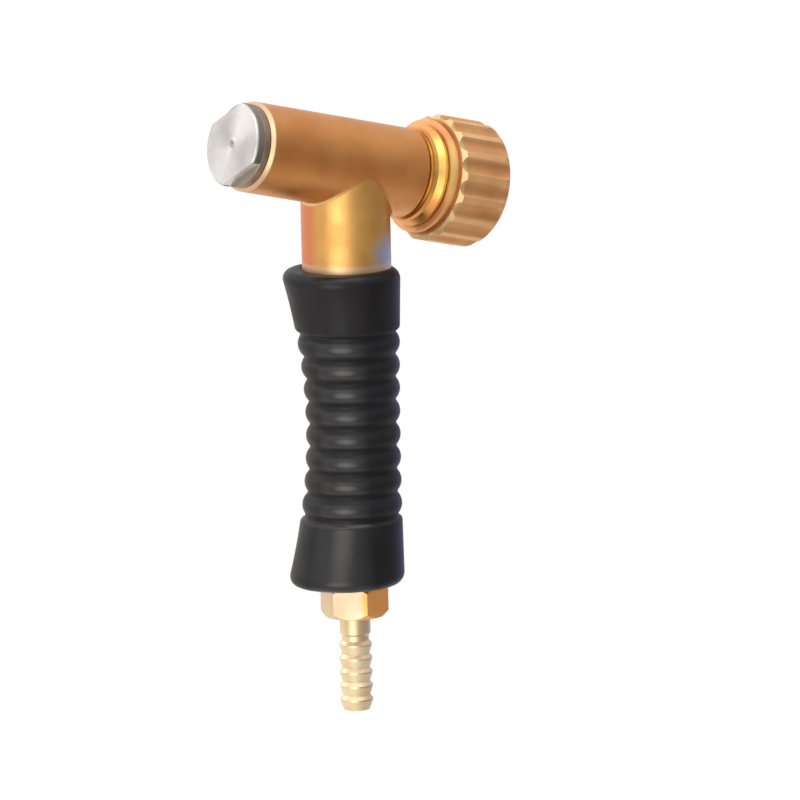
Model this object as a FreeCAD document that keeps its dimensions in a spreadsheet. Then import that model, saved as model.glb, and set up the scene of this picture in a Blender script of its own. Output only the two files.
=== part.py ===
import FreeCAD, Part
import Sketcher
import math
import os
from FreeCAD import Placement, Rotation, Vector

# A T-head welding torch. +Z runs up the handle and the head lies in the XZ plane, its nose
# towards -X and tilted up. The origin is on the handle axis, at the barb nearest the hose.

document = FreeCAD.newDocument("torch")
sheet = document.addObject("Spreadsheet::Sheet", "Sizes")

# Every driving size, in millimetres or degrees.
SIZES = {
    # head: how far it stands above the rubber and how it leans
    "head_above_grip": 30.1,
    "head_tilt": 14.2,
    # fits shared by several pieces
    "thread_gap": 0.05,
    "seal_gap": 0.05,
    "running_gap": 0.05,
    "seat_gap": 0.1,
    # barrel and neck of the brass tee
    "barrel_dia": 25.8,
    "barrel_bore": 17.0,
    "barrel_front": 35.0,
    "barrel_rear": 21.7,
    "barrel_chamfer": 0.9,
    "neck_dia": 25.5,
    "neck_bore": 16.0,
    "neck_length": 43.8,
    "saddle_fillet": 1.8,
    # plug that closes the nose, and its gasket
    "plug_dia": 24.2,
    "plug_head": 2.6,
    "plug_flats": 19.0,
    "plug_angle": 147.0,
    "plug_chamfer": 0.5,
    "plug_spigot": 9.0,
    "plug_hollow_dia": 11.0,
    "plug_hollow_depth": 7.0,
    "plug_pip_dia": 1.6,
    "plug_pip_depth": 0.5,
    "nose_gasket_dia": 24.0,
    "nose_gasket_thick": 2.4,
    "gasket_chamfer": 0.3,
    # gas diffuser across the bore
    "diffuser_front": 14.0,
    "diffuser_thick": 3.0,
    "diffuser_hole_dia": 1.5,
    "diffuser_hole_count": 8,
    # collet body and collet
    "body_dia": 10.0,
    "body_length": 15.0,
    "body_flange_dia": 13.0,
    "body_flange_thick": 2.0,
    "body_chamfer": 0.8,
    "body_lip": 1.0,
    "body_port_dia": 2.0,
    "body_port_count": 4,
    "body_port_from_front": 5.0,
    "collet_dia": 5.0,
    "collet_bore": 2.5,
    "collet_rear": 8.0,
    "collet_cone": 1.3,
    "collet_flange_dia": 7.0,
    "collet_flange_thick": 1.6,
    "collet_slot_width": 0.5,
    "collet_slot_length": 13.0,
    "collet_slot_count": 4,
    # thrust pin and the wire ring that keeps it in the back cap
    "pin_head_dia": 8.0,
    "pin_head_thick": 4.5,
    "pin_stem_dia": 4.6,
    "pin_stem_length": 9.5,
    "pin_groove_from_head": 4.5,
    "pin_groove_depth": 0.4,
    "clip_wire_dia": 0.6,
    "clip_open_angle": 40.0,
    # gland screwed into the rear of the barrel, and its gasket
    "gland_spigot": 10.5,
    "gland_gasket_dia": 25.2,
    "gland_gasket_thick": 0.4,
    "gland_lip_dia": 27.0,
    "gland_lip_thick": 1.5,
    "gland_cone_length": 1.7,
    "gland_dia": 29.4,
    "gland_band": 1.1,
    "gland_chamfer": 0.3,
    # back cap: spigot, boss and fluted knob
    "cap_spigot_dia": 12.0,
    "cap_spigot_chamfer": 0.6,
    "cap_gap": 0.35,
    "cap_boss_dia": 32.6,
    "cap_boss_width": 1.0,
    "cap_groove_dia": 30.8,
    "cap_groove_width": 1.7,
    "knob_dia": 36.4,
    "knob_length": 18.0,
    "knob_chamfer": 1.2,
    "knob_round": 3.2,
    "flute_count": 17,
    "flute_dia": 6.6,
    "flute_depth": 1.25,
    "flute_angle": 18.9,
    "cap_hollow_end": 6.0,
    "cap_seal_wire": 2.2,
    # reducer in the neck and its seal
    "reducer_flange_thick": 2.0,
    "reducer_spigot": 12.0,
    "reducer_socket": 8.0,
    "reducer_groove_height": 10.0,
    "reducer_groove_width": 2.0,
    "neck_seal_wire": 1.4,
    # stem tube, insulating core and end fitting
    "stem_dia": 12.0,
    "stem_bore": 8.0,
    "core_dia": 18.0,
    "core_bore": 12.6,
    "fitting_height": 9.4,
    "fitting_socket": 6.0,
    "fitting_bore": 6.0,
    "nipple_dia": 13.1,
    "nipple_chamfer": 0.5,
    "washer_dia": 20.4,
    "washer_thick": 1.0,
    # rubber grip
    "grip_above_nut": 0.2,
    "skirt_length": 19.3,
    "flare_length": 18.0,
    "waist_above_skirt_end": 45.8,
    "grip_waist_front": 12.55,
    "grip_hollow_radius": 150.0,
    "grip_back_top": 14.9,
    "grip_back_bottom": 14.1,
    "grip_top_round": 3.4,
    "grip_bottom_round": 3.4,
    "bead_count": 8,
    "bead_pitch": 6.67,
    "bead_round": 4.1,
    "bead_depth": 1.15,
    "bead_shoulder": 1.1,
    "valley_half": 0.4,
    # union nut and hose tail
    "nut_height": 9.3,
    "nut_flats": 17.0,
    "nut_angle": 16.1,
    "nut_chamfer": 1.4,
    "nut_chamfer_rise": 1.6,
    "nut_web": 2.6,
    "tail_seal_thick": 0.5,
    "tail_flange_dia": 12.8,
    "tail_flange_thick": 1.3,
    "tail_shank_dia": 10.0,
    "tail_shank_recess": 0.3,
    "tail_neck_dia": 8.8,
    "tail_neck_length": 5.4,
    "tail_neck_ease": 0.6,
    "tail_root_run": 1.5,
    "tail_bore": 5.2,
    "barb_dia": 9.4,
    "barb_root_dia": 7.8,
    "barb_land": 0.5,
    "barb_fall": 1.0,
    "barb_pitch": 4.0,
    "barb_count": 5,
    "tail_lead": 2.7,
    "tail_tip_dia": 7.4,
}

for row, (alias, number) in enumerate(SIZES.items(), start=1):
    sheet.set(f"A{row}", alias)
    sheet.set(f"B{row}", str(number))
    sheet.setAlias(f"B{row}", alias)
document.recompute()


class Size:
    """A number that also knows the spreadsheet formula it comes from."""

    def __init__(self, value, formula):
        self.value = value
        self.formula = formula

    def combine(self, other, sign, value):
        return Size(value, f"({self.formula} {sign} {as_size(other).formula})")

    def __add__(self, other):
        return self.combine(other, "+", self.value + as_size(other).value)

    def __sub__(self, other):
        return self.combine(other, "-", self.value - as_size(other).value)

    def __mul__(self, other):
        return self.combine(other, "*", self.value * as_size(other).value)

    def __truediv__(self, other):
        return self.combine(other, "/", self.value / as_size(other).value)

    def __neg__(self):
        return Size(-self.value, f"(0 - {self.formula})")


def as_size(number):
    if isinstance(number, Size):
        return number
    return Size(float(number), str(number))


def size(alias):
    return Size(float(sheet.get(alias)), f"Sizes.{alias}")


def radius(alias):
    return size(alias) / 2


ZERO = as_size(0)


def bind(target, path, number):
    """Set a property of a feature from a formula on the sheet."""
    target.setExpression(path, number.formula)


def new_body(name):
    body = document.addObject("PartDesign::Body", name)
    body.Label = name
    return body


def attach(sketch, body, role):
    plane = next(item for item in body.Origin.OriginFeatures if item.Role == role)
    sketch.AttachmentSupport = [(plane, "")]
    sketch.MapMode = "FlatFace"


def polygon(body, name, corners, role="XZ_Plane"):
    """A closed outline whose corners are pairs of sizes: across and along."""
    sketch = body.newObject("Sketcher::SketchObject", name)
    attach(sketch, body, role)
    count = len(corners)
    points = [Vector(across.value, along.value, 0) for across, along in corners]
    for index in range(count):
        sketch.addGeometry(Part.LineSegment(points[index], points[(index + 1) % count]), False)
    for index in range(count):
        sketch.addConstraint(Sketcher.Constraint("Coincident", index, 2, (index + 1) % count, 1))
    for index, corner in enumerate(corners):
        before = corners[index - 1]
        place_corner(sketch, index, corner[0], before[0], "DistanceX", "Vertical", -2)
        place_corner(sketch, index, corner[1], before[1], "DistanceY", "Horizontal", -1)
    return sketch


def place_corner(sketch, index, number, before, distance, level, axis):
    """Tie one coordinate of a corner to the axis, to the corner before it or to the sheet."""
    if number.formula == ZERO.formula:
        sketch.addConstraint(Sketcher.Constraint("PointOnObject", index, 1, axis))
    elif index > 0 and number.formula == before.formula:
        sketch.addConstraint(Sketcher.Constraint(level, index - 1))
    else:
        added = sketch.addConstraint(Sketcher.Constraint(distance, -1, 1, index, 1, number.value))
        bind(sketch, f"Constraints[{added}]", number)


def circle(body, name, across, along, circle_radius, role="XY_Plane"):
    sketch = body.newObject("Sketcher::SketchObject", name)
    attach(sketch, body, role)
    centre = Vector(across.value, along.value, 0)
    sketch.addGeometry(Part.Circle(centre, Vector(0, 0, 1), circle_radius.value), False)
    for number, distance, axis in ((across, "DistanceX", -2), (along, "DistanceY", -1)):
        if number.formula == ZERO.formula:
            sketch.addConstraint(Sketcher.Constraint("PointOnObject", 0, 3, axis))
        else:
            added = sketch.addConstraint(Sketcher.Constraint(distance, -1, 1, 0, 3, number.value))
            bind(sketch, f"Constraints[{added}]", number)
    added = sketch.addConstraint(Sketcher.Constraint("Radius", 0, circle_radius.value))
    bind(sketch, f"Constraints[{added}]", circle_radius)
    return sketch


def revolve(body, name, corners):
    """Turn an outline of (radius, height) corners about the body's own Z axis."""
    sketch = polygon(body, f"{name}_outline", corners)
    feature = body.newObject("PartDesign::Revolution", name)
    feature.Profile = sketch
    feature.ReferenceAxis = (sketch, ["V_Axis"])
    feature.Angle = 360
    document.recompute()
    return feature


def cut_along(body, name, sketch, depth):
    """Cut a sketch on the body's XY plane upwards, and make sure that it cuts."""
    before = body.Shape.Volume
    pocket = body.newObject("PartDesign::Pocket", name)
    pocket.Profile = sketch
    pocket.Reversed = True
    bind(pocket, "Length", depth)
    document.recompute()
    if not body.Shape.Volume < before:
        raise ValueError(f"{name} cuts nothing")
    return pocket


def turn_sketch(sketch, turn):
    """Turn a sketch about the body's Z axis."""
    sketch.AttachmentOffset = Placement(Vector(), Rotation(Vector(0, 0, 1), turn.value))
    bind(sketch, "AttachmentOffset.Rotation.Angle", turn)


def repeat_round(body, name, feature, count):
    """Repeat a cut evenly about the body's Z axis."""
    pattern = body.newObject("PartDesign::PolarPattern", name)
    pattern.Originals = [feature]
    axis = next(item for item in body.Origin.OriginFeatures if item.Role == "Z_Axis")
    pattern.Axis = (axis, [""])
    pattern.Angle = 360
    bind(pattern, "Occurrences", count)
    body.Tip = pattern
    document.recompute()
    return pattern


def round_edges(shape, edge_radius, height):
    """Numbers of the round edges of this radius at this height in a body's own frame."""
    found = []
    for number, edge in enumerate(shape.Edges, start=1):
        if not isinstance(edge.Curve, Part.Circle):
            continue
        if abs(edge.Curve.Radius - edge_radius.value) > 1e-3:
            continue
        if abs(edge.Curve.Center.z - height.value) < 1e-3:
            found.append(f"Edge{number}")
    return found


def along_barrel(piece, station):
    """Stand a piece on the barrel axis, its own +Z towards the knob."""
    tilt = size("head_tilt")
    piece.Placement = Placement(Vector(), Rotation(Vector(0, 1, 0), 90 + tilt.value))
    piece.setExpression("Placement.Rotation.Angle", f"90 + {tilt.formula}")
    piece.setExpression("Placement.Base.x", f"{station.formula} * cos({tilt.formula})")
    rise = f"{head_height.formula} - {station.formula} * sin({tilt.formula})"
    piece.setExpression("Placement.Base.z", rise)


def along_handle(piece, height):
    """Stand a piece on the handle axis at a height above the origin."""
    piece.Placement = Placement(Vector(0, 0, height.value), Rotation())
    bind(piece, "Placement.Base.z", height)


def ring(name, inner, outer, thick, chamfer=None):
    """A flat washer, with its outer corners broken if a chamfer is given."""
    body = new_body(name)
    if chamfer is None:
        corners = [(inner, ZERO), (outer, ZERO), (outer, thick), (inner, thick)]
    else:
        corners = [
            (inner, ZERO),
            (outer - chamfer, ZERO),
            (outer, chamfer),
            (outer, thick - chamfer),
            (outer - chamfer, thick),
            (inner, thick),
        ]
    revolve(body, f"{name}_ring", corners)
    return body


def torus(name, centre_radius, wire_radius):
    piece = document.addObject("Part::Torus", name)
    piece.Label = name
    bind(piece, "Radius1", centre_radius)
    bind(piece, "Radius2", wire_radius)
    return piece


# Stations along the barrel axis, from the crossing of the two axes: minus is towards the nose.
gasket_front = -(size("barrel_front") + size("nose_gasket_thick"))
plug_front = gasket_front - size("plug_head")
diffuser_front = -size("diffuser_front")
diffuser_rear = diffuser_front + size("diffuser_thick")
collet_body_front = diffuser_rear + size("body_flange_thick") - size("body_length")
collet_front = collet_body_front + size("body_lip") + size("seat_gap")
collet_rear = size("collet_rear")
pin_head_rear = collet_rear + size("pin_head_thick")
cap_front = pin_head_rear + size("seat_gap")
gland_seat = size("barrel_rear") + size("gland_gasket_thick")
gland_front = size("barrel_rear") - size("gland_spigot")
gland_flange = size("gland_lip_thick") + size("gland_cone_length") + size("gland_band")
gland_rear = gland_seat + gland_flange
boss_front = gland_rear + size("cap_gap")
seal_room = size("cap_seal_wire") + size("seal_gap") * 4
cap_seal_middle = gland_rear - seal_room / 2

# Heights along the handle axis, upwards from the last barb.
barb_top = size("barb_pitch") * (size("barb_count") - 1) + size("barb_land") + size("barb_fall")
tail_neck_bottom = barb_top + size("tail_root_run") + size("tail_neck_ease")
tail_neck_top = tail_neck_bottom + size("tail_neck_length")
nut_bottom = tail_neck_top - size("tail_shank_recess")
nut_top = nut_bottom + size("nut_height")
tail_flange_bottom = nut_bottom + size("nut_web") + size("running_gap")
tail_flange_top = tail_flange_bottom + size("tail_flange_thick")
tail_seal_bottom = tail_flange_top + size("seal_gap")
fitting_bottom = tail_seal_bottom + size("tail_seal_thick") + size("seal_gap")
washer_bottom = nut_top + size("seat_gap")
washer_top = washer_bottom + size("washer_thick")
fitting_shoulder = washer_top + size("seat_gap")
fitting_top = fitting_shoulder + size("fitting_height")
grip_bottom = nut_top + size("grip_above_nut")
grip_waist = grip_bottom + size("waist_above_skirt_end")
skirt_start = grip_bottom + size("skirt_length")
bead_last = skirt_start + size("valley_half") + size("bead_pitch") / 2
bead_first = bead_last + size("bead_pitch") * (size("bead_count") - 1)
flare_end = bead_first + size("bead_pitch") / 2 + size("valley_half")
grip_top = flare_end + size("flare_length")
head_height = grip_top + size("head_above_grip")
neck_bottom = head_height - size("neck_length")
reducer_bottom = neck_bottom - size("reducer_flange_thick")
stem_bottom = fitting_top - size("fitting_socket")
stem_top = reducer_bottom + size("reducer_socket")

# Radii that two pieces share.
spigot_radius = radius("barrel_bore") - size("thread_gap")
cap_bore_radius = radius("pin_stem_dia") + size("running_gap")
reducer_radius = radius("neck_bore") - size("thread_gap")
socket_radius = radius("stem_dia") + size("thread_gap")
gland_bore_radius = radius("cap_spigot_dia") + size("thread_gap")
seal_pocket_radius = radius("cap_spigot_dia") + size("cap_seal_wire") + size("seal_gap") * 2
nut_thread_radius = radius("nipple_dia") + size("thread_gap")
nut_bore_radius = radius("tail_shank_dia") + size("running_gap")


def torch_body():
    """The brass tee: barrel and neck of nearly one diameter, brazed with a small fillet."""
    body = new_body("torch_body")
    tilt = size("head_tilt")
    turn = Rotation(Vector(0, 1, 0), 90 + tilt.value)

    def tube(kind, name, tube_radius, front, length):
        cylinder = body.newObject(kind, name)
        attach(cylinder, body, "XY_Plane")
        cylinder.AttachmentOffset = Placement(Vector(), turn)
        bind(cylinder, "Radius", tube_radius)
        bind(cylinder, "Height", length)
        angle = f"90 + {tilt.formula}"
        cylinder.setExpression("AttachmentOffset.Rotation.Angle", angle)
        cylinder.setExpression("AttachmentOffset.Base.x", f"-{front.formula} * cos({tilt.formula})")
        cylinder.setExpression("AttachmentOffset.Base.z", f"{front.formula} * sin({tilt.formula})")
        document.recompute()

    def neck(kind, name, neck_radius, length):
        cylinder = body.newObject(kind, name)
        attach(cylinder, body, "XY_Plane")
        bind(cylinder, "Radius", neck_radius)
        bind(cylinder, "Height", length)
        bind(cylinder, "AttachmentOffset.Base.z", -length)
        document.recompute()

    barrel_length = size("barrel_front") + size("barrel_rear")
    neck("PartDesign::AdditiveCylinder", "neck", radius("neck_dia"), size("neck_length"))
    tube("PartDesign::AdditiveCylinder", "barrel", radius("barrel_dia"), size("barrel_front"),
         barrel_length)
    joined = body.Tip
    seam = saddle_edges(joined.Shape)
    saddle = body.newObject("PartDesign::Fillet", "saddle")
    saddle.Base = (joined, seam)
    bind(saddle, "Radius", size("saddle_fillet"))
    document.recompute()
    ends = body.newObject("PartDesign::Chamfer", "barrel_edges")
    ends.Base = (saddle, end_edges(saddle.Shape, radius("barrel_dia")))
    bind(ends, "Size", size("barrel_chamfer"))
    document.recompute()
    tube("PartDesign::SubtractiveCylinder", "barrel_bore", radius("barrel_bore"),
         size("barrel_front"), barrel_length)
    neck("PartDesign::SubtractiveCylinder", "neck_bore", radius("neck_bore"), size("neck_length"))
    along_handle(body, head_height)
    return body


def saddle_edges(shape):
    """The edges where the neck meets the barrel: neither straight nor round."""
    found = []
    for number, edge in enumerate(shape.Edges, start=1):
        if not isinstance(edge.Curve, (Part.Circle, Part.Line)):
            found.append(f"Edge{number}")
    return found


def end_edges(shape, edge_radius):
    """The round edges of the barrel's two ends, which face along its axis."""
    found = []
    for number, edge in enumerate(shape.Edges, start=1):
        if not isinstance(edge.Curve, Part.Circle) or not edge.Closed:
            continue
        if abs(edge.Curve.Radius - edge_radius.value) > 1e-3:
            continue
        if abs(edge.Curve.Axis.z) < 0.9:
            found.append(f"Edge{number}")
    return found


def mill_flats(body, flat, reach, turn, depth, count):
    """Cut flats at this distance from the axis, the first one at an angle from the body's X."""
    outline = polygon(body, "flat_outline", [
        (flat, reach),
        (flat, -reach),
        (reach, -reach),
        (reach, reach),
    ], "XY_Plane")
    turn_sketch(outline, turn)
    flat_cut = cut_along(body, "flat", outline, depth)
    repeat_round(body, "flats", flat_cut, count)


def nose_plug():
    """The turned plug that closes the nose, with a flat on each side for a spanner."""
    body = new_body("nose_plug")
    head = size("plug_head")
    end = head + size("nose_gasket_thick") + size("plug_spigot")
    outer = radius("plug_dia")
    chamfer = size("plug_chamfer")
    hollow = radius("plug_hollow_dia")
    floor = end - size("plug_hollow_depth")
    revolve(body, "plug", [
        (ZERO, size("plug_pip_depth")),
        (radius("plug_pip_dia"), ZERO),
        (outer - chamfer, ZERO),
        (outer, chamfer),
        (outer, head),
        (spigot_radius, head),
        (spigot_radius, end),
        (hollow, end),
        (hollow, floor),
        (ZERO, floor),
    ])
    mill_flats(body, radius("plug_flats"), outer + 1, size("plug_angle"), head, as_size(2))
    along_barrel(body, plug_front)
    return body


def nose_gasket():
    inner = spigot_radius + size("seat_gap")
    body = ring("nose_gasket", inner, radius("nose_gasket_dia"), size("nose_gasket_thick"),
                size("gasket_chamfer"))
    along_barrel(body, gasket_front)
    return body


def gas_diffuser():
    """The drilled disc that spreads the gas about the collet body."""
    body = new_body("gas_diffuser")
    inner = radius("body_dia") + size("thread_gap")
    thick = size("diffuser_thick")
    revolve(body, "disc", [
        (inner, ZERO),
        (spigot_radius, ZERO),
        (spigot_radius, thick),
        (inner, thick),
    ])
    middle = (inner + spigot_radius) / 2
    hole = circle(body, "hole_outline", middle, ZERO, radius("diffuser_hole_dia"))
    hole_cut = cut_along(body, "hole", hole, thick)
    repeat_round(body, "holes", hole_cut, size("diffuser_hole_count"))
    along_barrel(body, diffuser_front)
    return body


def collet_body():
    """The copper tube that holds the collet and closes its jaws with a cone inside its lip."""
    body = new_body("collet_body")
    outer = radius("body_dia")
    length = size("body_length")
    shoulder = length - size("body_flange_thick")
    lip = radius("collet_bore") + size("seat_gap")
    bore = radius("collet_dia") + size("running_gap")
    revolve(body, "tube", [
        (lip, ZERO),
        (outer - size("body_chamfer"), ZERO),
        (outer, size("body_chamfer")),
        (outer, shoulder),
        (radius("body_flange_dia"), shoulder),
        (radius("body_flange_dia"), length),
        (bore, length),
        (bore, size("body_lip") + size("collet_cone")),
        (lip, size("body_lip")),
    ])
    port = body.newObject("Sketcher::SketchObject", "port_outline")
    attach(port, body, "YZ_Plane")
    height = size("body_port_from_front")
    port.addGeometry(Part.Circle(Vector(0, height.value, 0), Vector(0, 0, 1), 1), False)
    port.addConstraint(Sketcher.Constraint("PointOnObject", 0, 3, -2))
    added = port.addConstraint(Sketcher.Constraint("DistanceY", -1, 1, 0, 3, height.value))
    bind(port, f"Constraints[{added}]", height)
    added = port.addConstraint(Sketcher.Constraint("Radius", 0, 1))
    bind(port, f"Constraints[{added}]", radius("body_port_dia"))
    port_cut = cut_along(body, "port", port, outer + 1)
    repeat_round(body, "ports", port_cut, size("body_port_count"))
    along_barrel(body, collet_body_front)
    return body


def collet():
    """The slotted copper collet, from the cone to the flange that the thrust pin meets."""
    body = new_body("collet")
    outer = radius("collet_dia")
    bore = radius("collet_bore")
    length = collet_rear - collet_front
    flange = length - size("collet_flange_thick")
    revolve(body, "sleeve", [
        (bore, ZERO),
        (bore + size("seat_gap"), ZERO),
        (outer, size("collet_cone")),
        (outer, flange),
        (radius("collet_flange_dia"), flange),
        (radius("collet_flange_dia"), length),
        (bore, length),
    ])
    half = radius("collet_slot_width")
    slot = polygon(body, "slot_outline", [
        (ZERO, half),
        (ZERO, -half),
        (outer + 1, -half),
        (outer + 1, half),
    ], "XY_Plane")
    slot_cut = cut_along(body, "slot", slot, size("collet_slot_length"))
    repeat_round(body, "slots", slot_cut, size("collet_slot_count"))
    along_barrel(body, collet_front)
    return body


def thrust_pin():
    """The pin between cap and collet. It moves along the barrel but doesn't turn."""
    body = new_body("thrust_pin")
    bore = radius("collet_bore") + size("running_gap")
    stem = radius("pin_stem_dia")
    head = size("pin_head_thick")
    groove = head + size("pin_groove_from_head")
    groove_end = groove + size("clip_wire_dia") + size("seat_gap") * 2
    groove_floor = stem - size("pin_groove_depth")
    end = head + size("pin_stem_length")
    revolve(body, "pin", [
        (bore, ZERO),
        (radius("pin_head_dia"), ZERO),
        (radius("pin_head_dia"), head),
        (stem, head),
        (stem, groove),
        (groove_floor, groove),
        (groove_floor, groove_end),
        (stem, groove_end),
        (stem, end),
        (bore, end),
    ])
    along_barrel(body, collet_rear)
    return body


def pin_clip():
    """The open wire ring, half in the pin's groove and half in the cap's."""
    wire = size("clip_wire_dia") / 2
    centre = radius("pin_stem_dia") - size("pin_groove_depth") + wire + size("running_gap")
    clip = torus("pin_clip", centre, wire)
    clip.setExpression("Angle3", f"360 - {size('clip_open_angle').formula}")
    middle = size("pin_head_thick") + size("pin_groove_from_head") + wire + size("seat_gap")
    along_barrel(clip, collet_rear + middle)
    return clip


def gland_gasket():
    inner = spigot_radius + size("seat_gap")
    body = ring("gland_gasket", inner, radius("gland_gasket_dia"), size("gland_gasket_thick"))
    along_barrel(body, size("barrel_rear"))
    return body


def rear_gland():
    """The threaded bush of the back cap: spigot, stepped collar and a pocket for the seal."""
    body = new_body("rear_gland")
    seat = size("gland_spigot") + size("gland_gasket_thick")
    lip = seat + size("gland_lip_thick")
    cone = lip + size("gland_cone_length")
    rear = cone + size("gland_band")
    chamfer = size("gland_chamfer")
    pocket_floor = rear - seal_room
    outer = radius("gland_dia")
    revolve(body, "gland", [
        (gland_bore_radius, ZERO),
        (spigot_radius, ZERO),
        (spigot_radius, seat),
        (radius("gland_lip_dia"), seat),
        (radius("gland_lip_dia"), lip),
        (outer, cone),
        (outer, rear - chamfer),
        (outer - chamfer, rear),
        (seal_pocket_radius, rear),
        (seal_pocket_radius, pocket_floor),
        (gland_bore_radius, pocket_floor),
    ])
    along_barrel(body, gland_front)
    return body


def back_cap():
    """The back cap: a threaded spigot and a large fluted knob turned from one bar."""
    body = new_body("back_cap")
    spigot = radius("cap_spigot_dia")
    chamfer = size("cap_spigot_chamfer")
    boss = boss_front - cap_front
    groove = boss + size("cap_boss_width")
    knob = groove + size("cap_groove_width")
    end = knob + size("knob_length")
    outer = radius("knob_dia")
    wire = size("clip_wire_dia")
    clip_groove = size("pin_groove_from_head") - size("seat_gap")
    clip_groove_end = clip_groove + wire + size("seat_gap") * 2
    clip_groove_radius = cap_bore_radius + size("pin_groove_depth")
    hollow_end = end - size("cap_hollow_end")
    turned = revolve(body, "turned", [
        (cap_bore_radius, ZERO),
        (spigot - chamfer, ZERO),
        (spigot, chamfer),
        (spigot, boss),
        (radius("cap_boss_dia"), boss),
        (radius("cap_boss_dia"), groove),
        (radius("cap_groove_dia"), groove),
        (radius("cap_groove_dia"), knob),
        (outer - size("knob_chamfer"), knob),
        (outer, knob + size("knob_chamfer")),
        (outer, end),
        (ZERO, end),
        (ZERO, hollow_end),
        (cap_bore_radius, hollow_end),
        (cap_bore_radius, clip_groove_end),
        (clip_groove_radius, clip_groove_end),
        (clip_groove_radius, clip_groove),
        (cap_bore_radius, clip_groove),
    ])
    rear_edge = body.newObject("PartDesign::Fillet", "rear_edge")
    rear_edge.Base = (turned, round_edges(turned.Shape, outer, end))
    bind(rear_edge, "Radius", size("knob_round"))
    document.recompute()
    cutter = radius("flute_dia")
    flute = circle(body, "flute_outline", outer - size("flute_depth") + cutter, ZERO, cutter)
    turn_sketch(flute, size("flute_angle"))
    flute_cut = cut_along(body, "flute", flute, end)
    repeat_round(body, "flutes", flute_cut, size("flute_count"))
    along_barrel(body, cap_front)
    return body


def cap_seal():
    wire = size("cap_seal_wire") / 2
    seal = torus("cap_seal", radius("cap_spigot_dia") + size("seal_gap") + wire, wire)
    along_barrel(seal, cap_seal_middle)
    return seal


def neck_reducer():
    """The stepped brass plug in the neck: it carries the core and the stem tube."""
    body = new_body("neck_reducer")
    flange = size("reducer_flange_thick")
    top = flange + size("reducer_spigot")
    groove = size("reducer_groove_height")
    groove_end = groove + size("reducer_groove_width")
    groove_floor = radius("neck_bore") - size("neck_seal_wire") - size("seal_gap") * 2
    revolve(body, "reducer", [
        (socket_radius, ZERO),
        (radius("neck_dia"), ZERO),
        (radius("neck_dia"), flange),
        (reducer_radius, flange),
        (reducer_radius, groove),
        (groove_floor, groove),
        (groove_floor, groove_end),
        (reducer_radius, groove_end),
        (reducer_radius, top),
        (radius("stem_bore"), top),
        (radius("stem_bore"), size("reducer_socket")),
        (socket_radius, size("reducer_socket")),
    ])
    along_handle(body, reducer_bottom)
    return body


def neck_seal():
    wire = size("neck_seal_wire") / 2
    seal = torus("neck_seal", radius("neck_bore") - size("seal_gap") - wire, wire)
    middle = size("reducer_groove_height") + size("reducer_groove_width") / 2
    along_handle(seal, reducer_bottom + middle)
    return seal


def stem_tube():
    tube = ring("stem_tube", radius("stem_bore"), radius("stem_dia"), stem_top - stem_bottom)
    along_handle(tube, stem_bottom)
    return tube


def handle_core():
    """The insulating tube under the rubber."""
    tube = ring("handle_core", radius("core_bore"), radius("core_dia"),
                reducer_bottom - fitting_top)
    along_handle(tube, fitting_top)
    return tube


def end_fitting():
    """The brass fitting at the foot of the handle, with the male thread of the union."""
    body = new_body("end_fitting")
    nipple = radius("nipple_dia")
    chamfer = size("nipple_chamfer")
    shoulder = fitting_shoulder - fitting_bottom
    top = fitting_top - fitting_bottom
    socket = stem_bottom - fitting_bottom
    revolve(body, "fitting", [
        (radius("fitting_bore"), ZERO),
        (nipple - chamfer, ZERO),
        (nipple, chamfer),
        (nipple, shoulder),
        (radius("core_dia"), shoulder),
        (radius("core_dia"), top),
        (socket_radius, top),
        (socket_radius, socket),
        (radius("fitting_bore"), socket),
    ])
    along_handle(body, fitting_bottom)
    return body


def grip_washer():
    inner = radius("nipple_dia") + size("seat_gap")
    body = ring("grip_washer", inner, radius("washer_dia"), size("washer_thick"))
    along_handle(body, washer_bottom)
    return body


def grip_sides(height):
    """Distances from the handle axis to the finger side, a long hollow, and the palm side."""
    rise = height - grip_waist
    front = size("grip_waist_front") + rise * rise / (size("grip_hollow_radius") * 2)
    share = (height - grip_bottom) / (grip_top - grip_bottom)
    back = size("grip_back_bottom") + share * (size("grip_back_top") - size("grip_back_bottom"))
    return front, back


def grip_section(body, name, height, inset):
    """One round section of the rubber, its centre shifted towards the fingers."""
    front, back = grip_sides(height)
    section = circle(body, name, ZERO, ZERO, (front + back) / 2 - inset)
    bind(section, "AttachmentOffset.Base.x", (back - front) / 2)
    bind(section, "AttachmentOffset.Base.z", height)
    return section


def grip_loft(body, name, top, bottom, inset, count):
    """A smooth length of the rubber through evenly spaced sections."""
    sections = []
    for number in range(count):
        height = top - (top - bottom) * (number / (count - 1))
        sections.append(grip_section(body, f"{name}_section_{number + 1}", height, inset))
    loft = body.newObject("PartDesign::AdditiveLoft", name)
    loft.Profile = sections[0]
    loft.Sections = sections[1:]
    document.recompute()


def bead(body, name, height):
    """One round bead of the rubber, as a ring whose inner part is buried in the sleeve."""
    front, back = grip_sides(height)
    roundness = size("bead_round")
    added = body.newObject("PartDesign::AdditiveTorus", name)
    attach(added, body, "XY_Plane")
    bind(added, "Radius1", (front + back) / 2 - roundness)
    bind(added, "Radius2", roundness)
    bind(added, "AttachmentOffset.Base.x", (back - front) / 2)
    bind(added, "AttachmentOffset.Base.z", height)
    document.recompute()


def round_rim(body, name, height, rim_radius, edge_round):
    """Round the outer edge of the rubber at one height."""
    base = body.Tip
    rounded = body.newObject("PartDesign::Fillet", name)
    rounded.Base = (base, level_edges(base.Shape, height, rim_radius))
    bind(rounded, "Radius", edge_round)
    document.recompute()


def bore_out(body, name, bore_radius, bottom, length):
    """A round hole up the handle axis."""
    hole = body.newObject("PartDesign::SubtractiveCylinder", name)
    attach(hole, body, "XY_Plane")
    bind(hole, "Radius", bore_radius)
    bind(hole, "Height", length)
    bind(hole, "AttachmentOffset.Base.z", bottom)
    document.recompute()


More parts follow.
